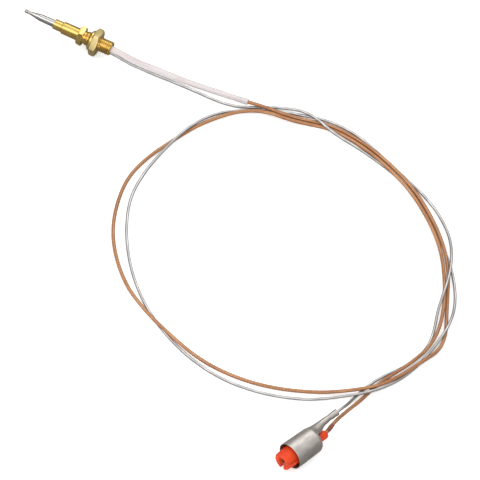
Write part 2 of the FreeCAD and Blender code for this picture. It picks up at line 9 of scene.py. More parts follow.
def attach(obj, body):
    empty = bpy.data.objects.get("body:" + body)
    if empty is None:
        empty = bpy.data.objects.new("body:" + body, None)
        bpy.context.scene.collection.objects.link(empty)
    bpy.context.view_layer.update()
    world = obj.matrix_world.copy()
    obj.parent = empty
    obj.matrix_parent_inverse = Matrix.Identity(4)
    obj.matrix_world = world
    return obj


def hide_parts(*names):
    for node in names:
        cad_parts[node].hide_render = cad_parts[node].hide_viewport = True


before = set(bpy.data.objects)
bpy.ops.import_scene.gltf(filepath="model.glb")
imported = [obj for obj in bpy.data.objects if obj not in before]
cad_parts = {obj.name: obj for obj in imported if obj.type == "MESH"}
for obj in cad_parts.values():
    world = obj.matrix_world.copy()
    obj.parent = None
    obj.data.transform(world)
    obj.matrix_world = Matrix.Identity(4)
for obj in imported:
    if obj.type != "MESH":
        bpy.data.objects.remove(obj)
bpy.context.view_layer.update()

MM = 0.001
FULL_TURN = 2 * math.pi
ROOT_BODY = "fitting_and_leads"

# ------------------------------------------------------------------ camera

AZIMUTH = math.radians(14.2)
ELEVATION = math.radians(52.2)
ROLL = math.radians(12.7)
AIM = Vector((129.8, -77.8, -6.9)) * MM
VIEW_WIDTH = 259.2 * MM
DISTANCE = 10.0
SENSOR = 36.0
FARTHEST_SEEN = 20


def add_camera():
    """A long lens looking down on the loop, rolled so that the fitting lies to the upper left."""
    backwards = Vector((math.sin(AZIMUTH) * math.cos(ELEVATION),
                        -math.cos(AZIMUTH) * math.cos(ELEVATION), math.sin(ELEVATION)))
    level_right = Vector((math.cos(AZIMUTH), math.sin(AZIMUTH), 0))
    level_up = backwards.cross(level_right)
    right = level_right * math.cos(ROLL) + level_up * math.sin(ROLL)
    up = backwards.cross(right)
    data = bpy.data.cameras.new("camera")
    data.sensor_width = SENSOR
    data.lens = SENSOR * DISTANCE / VIEW_WIDTH
    data.clip_end = FARTHEST_SEEN
    camera = bpy.data.objects.new("camera", data)
    camera.matrix_world = Matrix.LocRotScale(
        AIM + backwards * DISTANCE, Matrix((right, up, backwards)).transposed(), None)
    bpy.context.collection.objects.link(camera)
    bpy.context.scene.camera = camera


add_camera()

# ------------------------------------------------------------------ leads

BROWN_WIDTH = 2.0
SILVER_WIDTH = 1.6

# Route of the brown lead: splice, heat sleeve, first turn of the loop, second turn, plug.
BROWN_ROUTE = [
    (8.0, -0.4, 0.5), (19.0, -0.3, 0.7), (30.0, 0.3, -1.8), (41.0, 2.4, -3.8),
    (52.0, 3.9, -5.2), (64.0, 5.2, -5.8), (77.0, 6.7, -5.8), (89.5, 8.2, -5.6),
    (100.5, 9.5, -4.9), (109.5, 10.5, -4.9), (118.5, 11.8, -5.6), (128.5, 14.9, -6.7),
    (140.5, 18.2, -6.7), (154.5, 17.4, -6.4), (169.0, 13.2, -4.8), (184.0, 7.5, -4.8),
    (197.5, 0.8, -4.8), (210.5, -8.8, -4.8), (222.0, -19.5, -4.8), (231.5, -31.0, -4.8),
    (239.0, -44.0, -4.8), (244.5, -57.5, -5.9), (249.3, -69.5, -6.7), (253.8, -80.5, -6.7),
    (254.8, -92.0, -6.0), (250.5, -103.0, -4.8), (246.3, -113.0, -4.8), (241.5, -122.5, -4.8),
    (235.5, -131.5, -4.5), (228.0, -138.5, -4.5), (219.0, -144.5, -5.6), (208.5, -150.5, -6.7),
    (190.5, -158.5, -6.7), (172.0, -163.0, -6.7), (153.0, -163.5, -6.7), (138.5, -161.5, -5.7),
    (125.5, -157.5, -4.8), (113.0, -152.5, -4.8), (101.0, -146.0, -5.5), (88.5, -137.0, -6.6),
    (76.0, -123.0, -6.7), (66.5, -107.0, -6.7), (61.0, -88.5, -6.7), (59.0, -69.5, -6.7),
    (63.0, -51.5, -6.7), (70.0, -35.0, -6.7), (77.0, -19.5, -6.7), (85.0, -8.0, -6.5),
    (92.3, -0.6, -5.4), (100.5, 4.9, -4.8), (109.5, 8.0, -4.8), (119.5, 9.4, -5.6),
    (129.0, 12.5, -6.7), (140.7, 15.9, -6.7), (154.0, 15.1, -6.4), (168.3, 10.9, -4.8),
    (183.2, 5.2, -4.8), (196.5, -1.4, -4.8), (209.2, -10.8, -4.8), (220.5, -21.3, -4.8),
    (229.7, -32.5, -4.8), (237.0, -45.3, -4.8), (243.0, -58.3, -4.8), (247.3, -71.0, -4.8),
    (249.5, -82.5, -4.8), (249.3, -94.0, -4.8), (246.3, -104.5, -4.8), (242.3, -114.2, -4.9),
    (237.5, -122.9, -6.1), (234.0, -131.8, -6.7), (231.8, -141.0, -6.7), (230.0, -149.8, -4.3),
    (228.1, -159.7, -0.9), (225.9, -169.2, 0.4), (225.04, -177.36, -0.5), (222.27, -184.55, -0.5),
]

# Route of the silver lead, which leaves the fitting under the sleeve.
SILVER_ROUTE = [
    (8.0, -0.95, -2.05), (18.5, -1.0, -1.95), (28.0, -1.5, -3.7), (39.5, 0.3, -5.7),
    (53.0, 1.8, -6.9), (67.0, 2.2, -6.9), (81.0, 2.0, -6.9), (91.5, 4.2, -6.9),
    (99.5, 8.2, -6.9), (107.0, 13.0, -6.9), (115.0, 16.4, -6.5), (123.7, 18.4, -5.2),
    (132.5, 17.2, -4.5), (140.5, 14.0, -4.5), (149.0, 12.8, -5.9), (160.0, 12.0, -6.9),
    (172.0, 9.2, -6.9), (184.0, 5.9, -6.9), (197.0, 0.3, -6.9), (210.0, -8.8, -6.9),
    (221.5, -19.2, -6.9), (231.5, -30.0, -6.9), (240.0, -40.0, -6.9), (246.5, -51.0, -6.9),
    (250.8, -62.0, -6.2), (252.7, -73.0, -4.7), (252.6, -84.0, -4.6), (251.0, -95.5, -6.0),
    (248.5, -107.0, -6.9), (244.5, -119.0, -6.9), (239.0, -129.5, -5.6), (232.5, -138.5, -4.4),
    (224.5, -145.5, -4.4), (215.0, -152.0, -6.0), (202.0, -159.5, -6.9), (181.5, -166.5, -6.9),
    (158.5, -168.5, -6.9), (136.0, -163.5, -6.9), (114.0, -152.5, -6.9), (96.5, -138.0, -6.9),
    (82.5, -120.5, -6.9), (72.0, -101.0, -6.9), (65.5, -81.0, -6.9), (65.5, -61.5, -6.9),
    (67.8, -47.5, -6.2), (71.0, -34.5, -4.6), (74.6, -22.5, -4.7), (80.2, -10.5, -6.1),
    (86.5, -2.4, -6.9), (93.8, 2.6, -6.9), (101.5, 7.0, -6.9), (109.0, 11.2, -6.9),
    (117.0, 14.4, -6.9), (124.5, 16.8, -6.9), (134.0, 19.6, -6.9), (145.0, 20.9, -6.9),
    (157.5, 19.4, -6.9), (170.5, 14.6, -6.9), (183.5, 8.9, -6.9), (195.0, 4.6, -6.9),
    (206.0, 0.0, -6.9), (217.5, -7.2, -6.9), (229.0, -19.0, -5.8), (236.0, -33.0, -3.4),
    (240.0, -46.5, -2.7), (241.8, -58.0, -2.7), (243.5, -69.0, -5.2), (246.8, -80.0, -6.9),
    (248.3, -91.0, -6.9), (246.6, -102.5, -6.9), (242.0, -112.0, -6.9), (236.5, -120.0, -6.9),
    (232.0, -128.5, -6.9), (229.3, -136.5, -6.9), (227.4, -144.5, -6.0), (227.0, -152.5, -2.1),
    (226.25, -159.3, 1.9), (223.56, -166.3, 1.9),
]


def lead(name, route, width):
    """A round lead along one smooth spline."""
    data = bpy.data.curves.new(name, "CURVE")
    data.dimensions = "3D"
    spline = data.splines.new("NURBS")
    spline.points.add(len(route) - 1)
    for point, place in zip(spline.points, route):
        point.co = (*(Vector(place) * MM), 1)
    spline.order_u = 3
    spline.use_endpoint_u = True
    spline.resolution_u = 10
    data.bevel_depth = width / 2 * MM
    data.bevel_resolution = 5
    data.use_fill_caps = True
    piece = bpy.data.objects.new(name, data)
    bpy.context.collection.objects.link(piece)
    return piece


def centre_line(piece):
    """The points of a lead's own spline, in millimetres."""
    bare = piece.copy()
    bare.data = piece.data.copy()
    bare.data.bevel_depth = 0
    bpy.context.collection.objects.link(bare)
    bpy.context.view_layer.update()
    mesh = bpy.data.meshes.new_from_object(bare.evaluated_get(bpy.context.evaluated_depsgraph_get()))
    points = [vertex.co / MM for vertex in mesh.vertices]
    bpy.data.objects.remove(bare)
    bpy.data.meshes.remove(mesh)
    return points


def line_length(points):
    """Length of a line of points."""
    return sum((after - before).length for before, after in zip(points, points[1:]))


brown = lead("brown_lead_cover", BROWN_ROUTE, BROWN_WIDTH)
silver = lead("silver_lead_cover", SILVER_ROUTE, SILVER_WIDTH)
brown_line = centre_line(brown)
silver_line = centre_line(silver)

# ------------------------------------------------------------------ materials


# Sockets of the Mix node that carry its share and its two colours, and the mixed colour.
MIX_INPUTS = (0, 6, 7)
MIX_OUTPUT = 2


def fill_ramp(ramp, stops):
    """Sets a ramp's stops; each is a position and a colour."""
    while len(ramp.elements) < len(stops):
        ramp.elements.new(0.5)
    for element, (position, colour) in zip(ramp.elements, stops):
        element.position = position
        element.color = (*colour, 1)


class Nodes:
    """A small helper that builds one procedural material."""

    def __init__(self, name):
        self.material = bpy.data.materials.new(name)
        self.material.use_nodes = True
        self.tree = self.material.node_tree
        self.shader = self.tree.nodes["Principled BSDF"]
        self.coordinates = self.add("ShaderNodeTexCoord")

    def add(self, kind, **settings):
        """A new node with its settings and input values."""
        node = self.tree.nodes.new(kind)
        for key, value in settings.items():
            if hasattr(node, key):
                setattr(node, key, value)
            else:
                node.inputs[key.replace("_", " ")].default_value = value
        return node

    def link(self, output, target):
        """Joins an output to an input."""
        self.tree.links.new(output, target)

    def feed(self, target, value):
        """Sets an input to a number or a colour, or joins an output to it."""
        if isinstance(value, (int, float)):
            target.default_value = value
        elif isinstance(value, tuple):
            target.default_value = (*value, 1)
        else:
            self.link(value, target)

    def split(self, source):
        """The coordinates as separate numbers."""
        node = self.add("ShaderNodeSeparateXYZ")
        self.link(self.coordinates.outputs[source], node.inputs[0])
        return node.outputs

    def scaled(self, scale, turn, source):
        """The coordinates, turned about Z and then scaled along each axis."""
        turned = self.add("ShaderNodeMapping")
        turned.inputs["Rotation"].default_value = (0, 0, turn)
        self.link(self.coordinates.outputs[source], turned.inputs["Vector"])
        stretched = self.add("ShaderNodeMapping")
        stretched.inputs["Scale"].default_value = scale
        self.link(turned.outputs["Vector"], stretched.inputs["Vector"])
        return stretched.outputs["Vector"]

    def noise(self, scale, detail=3.0, roughness=0.5, turn=0.0, source="Object"):
        """Noise whose grain follows the scale along each axis."""
        node = self.add("ShaderNodeTexNoise", Scale=1.0, Detail=detail, Roughness=roughness)
        self.link(self.scaled(scale, turn, source), node.inputs["Vector"])
        return node.outputs["Fac"]

    def ramp(self, value, stops):
        """Colours along a value; each stop is a position and a colour."""
        node = self.add("ShaderNodeValToRGB")
        fill_ramp(node.color_ramp, stops)
        self.link(value, node.inputs["Fac"])
        return node.outputs["Color"]

    def span(self, value, low, high, low_in=0.0, high_in=1.0):
        """A value spread over another range."""
        node = self.add("ShaderNodeMapRange")
        node.inputs["From Min"].default_value = low_in
        node.inputs["From Max"].default_value = high_in
        node.inputs["To Min"].default_value = low
        node.inputs["To Max"].default_value = high
        self.link(value, node.inputs["Value"])
        return node.outputs["Result"]

    def math(self, operation, first, second=None):
        """One arithmetic step on values or numbers."""
        node = self.add("ShaderNodeMath", operation=operation)
        for socket, value in zip(node.inputs, (first, second)):
            if value is not None:
                self.feed(socket, value)
        return node.outputs[0]

    def mix(self, share, first, second):
        """Two colours mixed by a share."""
        node = self.add("ShaderNodeMix", data_type="RGBA", blend_type="MIX")
        for socket, value in zip(MIX_INPUTS, (share, first, second)):
            self.feed(node.inputs[socket], value)
        return node.outputs[MIX_OUTPUT]

    def bump(self, height, depth, after=None):
        """Adds relief of a depth in millimetres."""
        node = self.add("ShaderNodeBump", Strength=1.0, Distance=depth * MM)
        self.link(height, node.inputs["Height"])
        if after is not None:
            self.link(after, node.inputs["Normal"])
        return node.outputs["Normal"]

    def finish(self, colour=None, roughness=None, normal=None, **values):
        """Sets the shader's inputs."""
        for key, value in (("Base Color", colour), ("Roughness", roughness), ("Normal", normal)):
            if value is not None:
                self.feed(self.shader.inputs[key], value)
        for key, value in values.items():
            self.shader.inputs[key.replace("_", " ")].default_value = value
        return self.material


# How strongly edges are worn, and the pointiness at which wear begins and is full.
EDGE_WEAR = 0.5
WEAR_BEGINS = 0.51
WEAR_FULL = 0.58


def edge_wear(nodes, colour, worn):
    """Brightens convex edges, where handling has rubbed the surface."""
    geometry = nodes.add("ShaderNodeNewGeometry")
    edges = nodes.span(geometry.outputs["Pointiness"], 0.0, EDGE_WEAR, WEAR_BEGINS, WEAR_FULL)
    return nodes.mix(edges, colour, worn)


def turned_metal(name, dark, light, worn, rough_low, rough_high):
    """Bar stock turned about X: fine tool rings, faint tarnish, brighter edges."""
    nodes = Nodes(name)
    rings = nodes.noise((4200, 60, 60), detail=2.0)
    tarnish = nodes.noise((260, 260, 260), detail=5.0, roughness=0.62)
    stains = nodes.noise((900, 900, 900), detail=4.0)
    colour = nodes.ramp(tarnish, [(0.3, dark), (0.62, light)])
    colour = nodes.mix(nodes.span(stains, 0.0, 0.28, 0.55, 0.75), colour, dark)
    colour = edge_wear(nodes, colour, worn)
    roughness = nodes.span(tarnish, rough_low, rough_high, 0.3, 0.7)
    relief = nodes.bump(rings, 0.003)
    relief = nodes.bump(stains, 0.004, after=relief)
    return nodes.finish(colour, roughness, relief, Metallic=1.0, Coat_Weight=0.3,
                        Coat_Roughness=0.22)


# Where the heat tint is full and where it has faded, along X in metres.
TINT_FULL = -0.036
TINT_FADED = -0.026


def stainless():
    """Polished sheath with fine rings and a faint heat tint towards the tip."""
    nodes = Nodes("polished_stainless")
    rings = nodes.noise((4500, 80, 80), detail=2.0)
    cloud = nodes.noise((400, 400, 400), detail=4.0)
    to_tip = nodes.span(nodes.split("Object")["X"], 1.0, 0.0, TINT_FULL, TINT_FADED)
    tint = nodes.math("MULTIPLY", to_tip, nodes.span(cloud, 0.15, 0.55, 0.3, 0.7))
    steel = nodes.ramp(cloud, [(0.3, (0.42, 0.41, 0.405)), (0.7, (0.56, 0.55, 0.54))])
    colour = nodes.mix(tint, steel, (0.42, 0.35, 0.30))
    roughness = nodes.span(cloud, 0.18, 0.30, 0.3, 0.7)
    relief = nodes.bump(rings, 0.0015)
    return nodes.finish(colour, roughness, relief, Metallic=1.0)


def weld_metal():
    """Once-molten bead: dull, with small ripples."""
    nodes = Nodes("weld_metal")
    ripples = nodes.noise((2600, 900, 900), detail=4.0)
    colour = nodes.ramp(ripples, [(0.3, (0.30, 0.27, 0.25)), (0.7, (0.58, 0.55, 0.53))])
    return nodes.finish(colour, nodes.span(ripples, 0.2, 0.42), nodes.bump(ripples, 0.05),
                        Metallic=1.0)


PLUG_TURN = math.radians(68.95)


def plated_steel():
    """Nickel-plated sheet, drawn lengthwise: streaks along the plug and soft clouds."""
    nodes = Nodes("plated_steel")
    streaks = nodes.noise((110, 5200, 5200), detail=3.0, turn=-PLUG_TURN)
    clouds = nodes.noise((170, 420, 420), detail=4.0, turn=-PLUG_TURN)
    specks = nodes.noise((2400, 2400, 2400), detail=3.0)
    colour = nodes.ramp(clouds, [(0.28, (0.46, 0.43, 0.395)), (0.5, (0.56, 0.525, 0.49)),
                                 (0.72, (0.66, 0.62, 0.58))])
    colour = nodes.mix(nodes.span(specks, 0.0, 0.3, 0.6, 0.8), colour, (0.30, 0.27, 0.24))
    colour = edge_wear(nodes, colour, (0.82, 0.79, 0.75))
    roughness = nodes.span(streaks, 0.36, 0.52, 0.3, 0.7)
    relief = nodes.bump(streaks, 0.010)
    relief = nodes.bump(clouds, 0.03, after=relief)
    return nodes.finish(colour, roughness, relief, Metallic=1.0)


# Lengths of one crossing of the brown braid and of one twist of the grey strands.
BRAID_PITCH = 2.4
TWIST_PITCH = 9.0
GREY_STRANDS = 9
BRAID_WANDER = 2.5


def braid(nodes, along, around, stretch):
    """Height of a fine braid from a lead's own coordinates: two sets of strands that cross."""
    wrap = nodes.split("UV")
    wander = nodes.noise((stretch, 3, 1), detail=2.0, source="UV")
    lengthwise = nodes.math("MULTIPLY", wrap["X"], along * FULL_TURN)
    lengthwise = nodes.math("ADD", lengthwise, nodes.math("MULTIPLY", wander, BRAID_WANDER))
    crosswise = nodes.math("MULTIPLY", wrap["Y"], around * FULL_TURN)
    left = nodes.math("SINE", nodes.math("ADD", lengthwise, crosswise))
    right = nodes.math("SINE", nodes.math("SUBTRACT", lengthwise, crosswise))
    return nodes.math("MULTIPLY", left, right)


def brown_cover(length):
    """Varnished brown braid, with painted shade darkening the gaps between its strands."""
    nodes = Nodes("brown_braid")
    weave = braid(nodes, along=round(length / BRAID_PITCH), around=3, stretch=90)
    drift = nodes.noise((60, 1, 1), detail=4.0, source="UV")
    flecks = nodes.noise((1300, 1300, 1300), detail=3.0)
    colour = nodes.ramp(drift, [(0.3, (0.36, 0.135, 0.040)), (0.5, (0.49, 0.205, 0.070)),
                                (0.72, (0.60, 0.30, 0.125))])
    # Painted shade: the colour is darkened where the weave is low, in the gaps between the strands.
    painted_gap_shade = nodes.span(weave, 0.62, 0.0, -0.9, 0.15)
    colour = nodes.mix(painted_gap_shade, colour, (0.18, 0.066, 0.028))
    colour = nodes.mix(nodes.span(flecks, 0.0, 0.5, 0.56, 0.75), colour, (0.62, 0.36, 0.17))
    relief = nodes.bump(weave, 0.09)
    relief = nodes.bump(flecks, 0.04, after=relief)
    return nodes.finish(colour, nodes.span(flecks, 0.30, 0.5), relief, Metallic=0.35,
                        Coat_Weight=0.8, Coat_Roughness=0.14)


def grey_cover(length):
    """Clear glossy cover over fine tinned strands that run in a long twist."""
    nodes = Nodes("grey_glossy_cover")
    wrap = nodes.split("UV")
    twist = nodes.math("ADD",
                       nodes.math("MULTIPLY", wrap["X"], length / TWIST_PITCH * FULL_TURN),
                       nodes.math("MULTIPLY", wrap["Y"], GREY_STRANDS * FULL_TURN))
    strands = nodes.math("SINE", twist)
    drift = nodes.noise((70, 1, 1), detail=3.0, source="UV")
    colour = nodes.ramp(drift, [(0.3, (0.48, 0.475, 0.475)), (0.7, (0.58, 0.57, 0.56))])
    # Painted shade: the colour is darkened in the grooves between the twisted strands.
    colour = nodes.mix(nodes.span(strands, 0.3, 0.0, -1.0, -0.3), colour, (0.34, 0.335, 0.34))
    relief = nodes.bump(strands, 0.006)
    return nodes.finish(colour, 0.3, relief, Metallic=0.92, Coat_Weight=0.3, Coat_Roughness=0.12)


def sleeving():
    """Pale glass-fibre sleeving, flattened braid under a silicone varnish."""
    nodes = Nodes("glass_fibre_sleeving")
    weave = braid(nodes, along=58, around=6, stretch=12)
    drift = nodes.noise((5, 2, 1), detail=4.0, source="UV")
    fibres = nodes.noise((500, 4200, 4200), detail=3.0)
    colour = nodes.ramp(drift, [(0.3, (0.68, 0.615, 0.615)), (0.7, (0.78, 0.725, 0.72))])
    # Painted shade: the colour is darkened where the weave is low, in the gaps of the braid.
    colour = nodes.mix(nodes.span(weave, 0.30, 0.0, -0.9, 0.1), colour, (0.46, 0.40, 0.40))
    relief = nodes.bump(weave, 0.05)
    relief = nodes.bump(fibres, 0.03, after=relief)
    return nodes.finish(colour, nodes.span(fibres, 0.42, 0.62), relief, Sheen_Weight=0.2,
                        Subsurface_Weight=0.12, Subsurface_Scale=0.0008, Coat_Weight=0.15,
                        Coat_Roughness=0.35)


# Share of white in the scuffs on plastic.
SCUFF_WHITE = 0.35


def moulded_plastic(name, deep, bright, rough):
    """Glossy moulded plastic with faint flow marks and fine orange-peel grain."""
    nodes = Nodes(name)
    flow = nodes.noise((130, 300, 300), detail=4.0, turn=-PLUG_TURN)
    grain = nodes.noise((3600, 3600, 3600), detail=3.0)
    scuffs = nodes.noise((900, 2600, 2600), detail=4.0, turn=-PLUG_TURN)
    colour = nodes.ramp(flow, [(0.3, deep), (0.7, bright)])
    pale = tuple(min(1.0, SCUFF_WHITE + (1 - SCUFF_WHITE) * share) for share in bright)
    colour = nodes.mix(nodes.span(scuffs, 0.0, 0.16, 0.62, 0.8), colour, pale)
    relief = nodes.bump(grain, 0.008)
    relief = nodes.bump(flow, 0.02, after=relief)
    return nodes.finish(colour, nodes.span(scuffs, rough, rough + 0.2, 0.4, 0.8), relief,
                        Subsurface_Weight=0.06, Subsurface_Scale=0.0006,
                        Specular_IOR_Level=0.34)


def mineral(name, dark, light, grain_scale):
    """Matt mineral: pressed ceramic or cement."""
    nodes = Nodes(name)
    grain = nodes.noise((grain_scale, grain_scale, grain_scale), detail=6.0, roughness=0.65)
    colour = nodes.ramp(grain, [(0.3, dark), (0.7, light)])
    return nodes.finish(colour, 0.8, nodes.bump(grain, 0.06))


def drawn_wire(name, dark, light, rough):
    """Bare wire with faint lengthwise die marks and oxide clouds."""
    nodes = Nodes(name)
    marks = nodes.noise((300, 6000, 6000), detail=3.0)
    clouds = nodes.noise((1100, 1100, 1100), detail=4.0)
    colour = nodes.ramp(clouds, [(0.3, dark), (0.7, light)])
    return nodes.finish(colour, nodes.span(marks, rough, rough + 0.2), nodes.bump(marks, 0.01),
                        Metallic=1.0)


brass = turned_metal("machined_brass", (0.56, 0.36, 0.075), (0.74, 0.51, 0.14),
                     (0.95, 0.82, 0.46), 0.18, 0.34)
nut_brass = turned_metal("nut_brass", (0.56, 0.41, 0.14), (0.72, 0.56, 0.24),
                         (0.94, 0.82, 0.50), 0.28, 0.46)
washer_brass = turned_metal("washer_brass", (0.58, 0.42, 0.11), (0.76, 0.58, 0.20),
                            (0.92, 0.80, 0.46), 0.22, 0.40)
# Painted light: the contact's brass is made brighter than the fitting's brass, to lift it out of the
# shade inside the insert.
contact_brass = turned_metal("contact_brass", (0.60, 0.42, 0.12), (0.80, 0.62, 0.25),
                             (0.95, 0.82, 0.5), 0.14, 0.3)
braze = turned_metal("braze", (0.46, 0.38, 0.22), (0.66, 0.58, 0.38), (0.8, 0.74, 0.55), 0.3, 0.5)
steel = stainless()
weld = weld_metal()
shell_steel = plated_steel()
orange = moulded_plastic("orange_plastic", (0.62, 0.036, 0.004), (0.78, 0.060, 0.007), 0.42)
ferrule_plastic = moulded_plastic("dark_red_sleeve", (0.16, 0.045, 0.03), (0.30, 0.10, 0.06), 0.35)
sleeve_cover = sleeving()
brown_braid = brown_cover(line_length(brown_line))
grey_gloss = grey_cover(line_length(silver_line))
ceramic = mineral("pressed_ceramic", (0.74, 0.71, 0.65), (0.86, 0.84, 0.79), 1800)
cement = mineral("grey_cement", (0.50, 0.48, 0.44), (0.72, 0.70, 0.66), 1500)
copper = drawn_wire("copper_wire", (0.52, 0.22, 0.12), (0.78, 0.42, 0.28), 0.22)
constantan = drawn_wire("constantan_wire", (0.42, 0.36, 0.29), (0.62, 0.55, 0.46), 0.25)

CAD_MATERIALS = {
    "constantan_core": constantan, "ceramic_insulator": ceramic, "copper_strand": copper,
    "lead_splice": copper, "earth_wire_end": copper, "earth_braze": braze, "link_wire": copper,
    "silver_wire_end": copper,
}

# ------------------------------------------------------------------ mesh tools

MERGE_DISTANCE = 1e-4
CREASE = 30


def object_from(name, work):
    """Turns a bmesh in millimetres into an object."""
    bmesh.ops.recalc_face_normals(work, faces=work.faces)
    bmesh.ops.scale(work, verts=work.verts, vec=(MM, MM, MM))
    mesh = bpy.data.meshes.new(name)
    work.to_mesh(mesh)
    work.free()
    result = bpy.data.objects.new(name, mesh)
    bpy.context.collection.objects.link(result)
    return result


def add_piece(name, work, material, body, node, crease=CREASE):
    """Turns a bmesh in millimetres into a piece that rides on a body and stands for a CAD node."""
    bmesh.ops.remove_doubles(work, verts=work.verts, dist=MERGE_DISTANCE)
    piece = object_from(name, work)
    piece.data.materials.append(material)
    piece.data.shade_smooth()
    piece.data.set_sharp_from_angle(angle=math.radians(crease))
    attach(piece, body)
    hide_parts(node)
    return piece


# Corners that turn less than this angle, or lie on the axis, stay as they are.
LEAST_TURN = 0.05
ON_AXIS = 1e-6
LONGEST_REACH = 0.45
ARC_STEPS = 4


def rounded(outline, radius):
    """An outline of (along, radius) points whose corners are rounded by arcs."""
    points = [Vector(point) for point in outline]
    result = []
    for before, corner, after in zip(points[-1:] + points[:-1], points, points[1:] + points[:1]):
        to_before = before - corner
        to_after = after - corner
        turn = math.pi - to_before.angle(to_after, math.pi)
        reach = min(radius * math.tan(turn / 2), LONGEST_REACH * to_before.length,
                    LONGEST_REACH * to_after.length)
        if turn < LEAST_TURN or corner.y < ON_AXIS:
            result.append(corner)
            continue
        start = corner + to_before.normalized() * reach
        end = corner + to_after.normalized() * reach
        for step in range(ARC_STEPS + 1):
            share = step / ARC_STEPS
            result.append(start * (1 - share) ** 2 + corner * 2 * share * (1 - share)
                          + end * share ** 2)
    return result


def ring_mesh(rings, closed_rings=True, closed_loop=True, work=None):
    """Quads between rings of points; the last ring joins the first if the loop is closed."""
    work = work or bmesh.new()
    rows = [[work.verts.new(point) for point in ring] for ring in rings]
    pairs = list(zip(rows, rows[1:] + rows[:1])) if closed_loop else list(zip(rows, rows[1:]))
    for first, second in pairs:
        count = len(first)
        for index in range(count if closed_rings else count - 1):
            following = (index + 1) % count
            work.faces.new((first[index], first[following], second[following], second[index]))
    return work


def around_x(along, radius, angle):
    """A point at a distance and an angle from the X axis."""
    return Vector((along, radius * math.cos(angle), radius * math.sin(angle)))


# Radius that stands for zero on the axis, and how finely a cast surface wobbles.
LEAST_RADIUS = 0.004
WOBBLE_SCALE = 1.7


def revolve(outline, steps, wobble=0.0):
    """A turned solid about X from a closed outline of (along, radius)."""
    rings = []
    for along, radius in outline:
        ring = []
        for step in range(steps):
            point = around_x(along, max(radius, LEAST_RADIUS), FULL_TURN * step / steps)
            if wobble:
                point += point.normalized() * wobble * noise.noise(point * WOBBLE_SCALE)
            ring.append(point)
        rings.append(ring)
    return ring_mesh(rings)


# Shape of a turned hexagon: how far its corners reach, the slope of its chamfers and the
# small steps that round the edges between face, chamfer and flat.
CORNER_SHARE = 0.985
CHAMFER_SLOPE = 0.56
FACE_STEP = 0.12
EDGE_STEP = 0.02
FLAT_STEP = 0.07
HEXAGON_STEPS = 360


def hexagon_radius(angle, flats, corner_turn):
    """Distance from the axis to a hexagon's side, with its corners just broken."""
    from_corner = (angle - corner_turn) % (FULL_TURN / 6)
    from_flat = from_corner - FULL_TURN / 12
    return min(flats / 2 / math.cos(from_flat), flats / math.sqrt(3) * CORNER_SHARE)


def chamfered_hexagon(front, rear, flats, bore, corner_turn, bore_chamfer,
                      chamfer_share=0.95, work=None):
    """A hexagon about X with turned chamfers that leave curved edges on its flats."""
    edge = flats / 2 * chamfer_share
    profiles = []
    for step in range(HEXAGON_STEPS):
        angle = FULL_TURN * step / HEXAGON_STEPS
        side = hexagon_radius(angle, flats, corner_turn)
        depth = max(side - edge, 0) * CHAMFER_SLOPE
        middle = (edge + side) / 2
        profile = [
            (front + bore_chamfer, bore), (front, bore + bore_chamfer), (front, edge - FACE_STEP),
            (front + EDGE_STEP, edge), (front + depth / 2, middle),
            (front + depth, side - EDGE_STEP), (front + depth + FLAT_STEP, side),
            (rear - depth - FLAT_STEP, side), (rear - depth, side - EDGE_STEP),
            (rear - depth / 2, middle), (rear - EDGE_STEP, edge), (rear, edge - FACE_STEP),
            (rear, bore + bore_chamfer), (rear - bore_chamfer, bore)]
        profiles.append([around_x(along, radius, angle) for along, radius in profile])
    return ring_mesh(list(zip(*profiles)), work=work)


# Shares of the pitch taken by the thread's crest and root, the slope at which it begins,
# the chamfer of the stub's bore and the rows of points in one pitch.
CREST_SHARE = 0.34
ROOT_SHARE = 0.14
THREAD_START_SLOPE = 0.8
BORE_CHAMFER = 0.25
ROWS_PER_PITCH = 14


def thread_radius(phase, crest, depth):
    """Radius of a 60-degree thread at a phase of its pitch: crest, flank, root, flank."""
    flank = (1.0 - CREST_SHARE - ROOT_SHARE) / 2
    if phase < CREST_SHARE:
        return crest
    if phase < CREST_SHARE + flank:
        return crest - depth * (phase - CREST_SHARE) / flank
    if phase < CREST_SHARE + flank + ROOT_SHARE:
        return crest - depth
    return crest - depth * (1.0 - phase) / flank


def helical_thread(start, end, crest, depth, pitch, bore, end_chamfer, steps, work):
    """The threaded outside of the stub, whose rows follow the helix, closed by its bore."""
    row_count = int((end - start) / pitch + 1) * ROWS_PER_PITCH
    rows = []
    for row in range(-ROWS_PER_PITCH, row_count + ROWS_PER_PITCH):
        ring = []
        for step in range(steps + 1):
            turn = step / steps
            along = start + pitch * (row / ROWS_PER_PITCH + turn)
            radius = thread_radius((row / ROWS_PER_PITCH) % 1.0, crest, depth)
            held = min(max(along, start), end)
            limit_rear = crest - end_chamfer + (end - held)
            limit_front = crest - depth + (held - start) * THREAD_START_SLOPE
            radius = min(radius, limit_rear, limit_front)
            ring.append(around_x(held, radius, FULL_TURN * turn))
        rows.append(ring)
    ring_mesh(rows, closed_rings=False, closed_loop=False, work=work)
    edge = crest - end_chamfer
    caps = [(end, edge), (end, bore + BORE_CHAMFER), (end - BORE_CHAMFER, bore), (start, bore),
            (start, crest - depth)]
    cap_rings = [[around_x(along, radius, FULL_TURN * step / steps) for step in range(steps)]
                 for along, radius in caps]
    return ring_mesh(cap_rings, closed_loop=False, work=work)


def carve(piece, work):
    """Cuts the shape of a bmesh in millimetres out of a piece."""
    cutter = object_from("cutter", work)
    modifier = piece.modifiers.new("carve", "BOOLEAN")
    modifier.operation = "DIFFERENCE"
    modifier.solver = "EXACT"
    modifier.object = cutter
    bpy.context.view_layer.update()
    graph = bpy.context.evaluated_depsgraph_get()
    carved = bpy.data.meshes.new_from_object(piece.evaluated_get(graph))
    piece.modifiers.clear()
    old = piece.data
    piece.data = carved
    bpy.data.meshes.remove(old)
    bpy.data.objects.remove(cutter)
    piece.data.set_sharp_from_angle(angle=math.radians(CREASE))


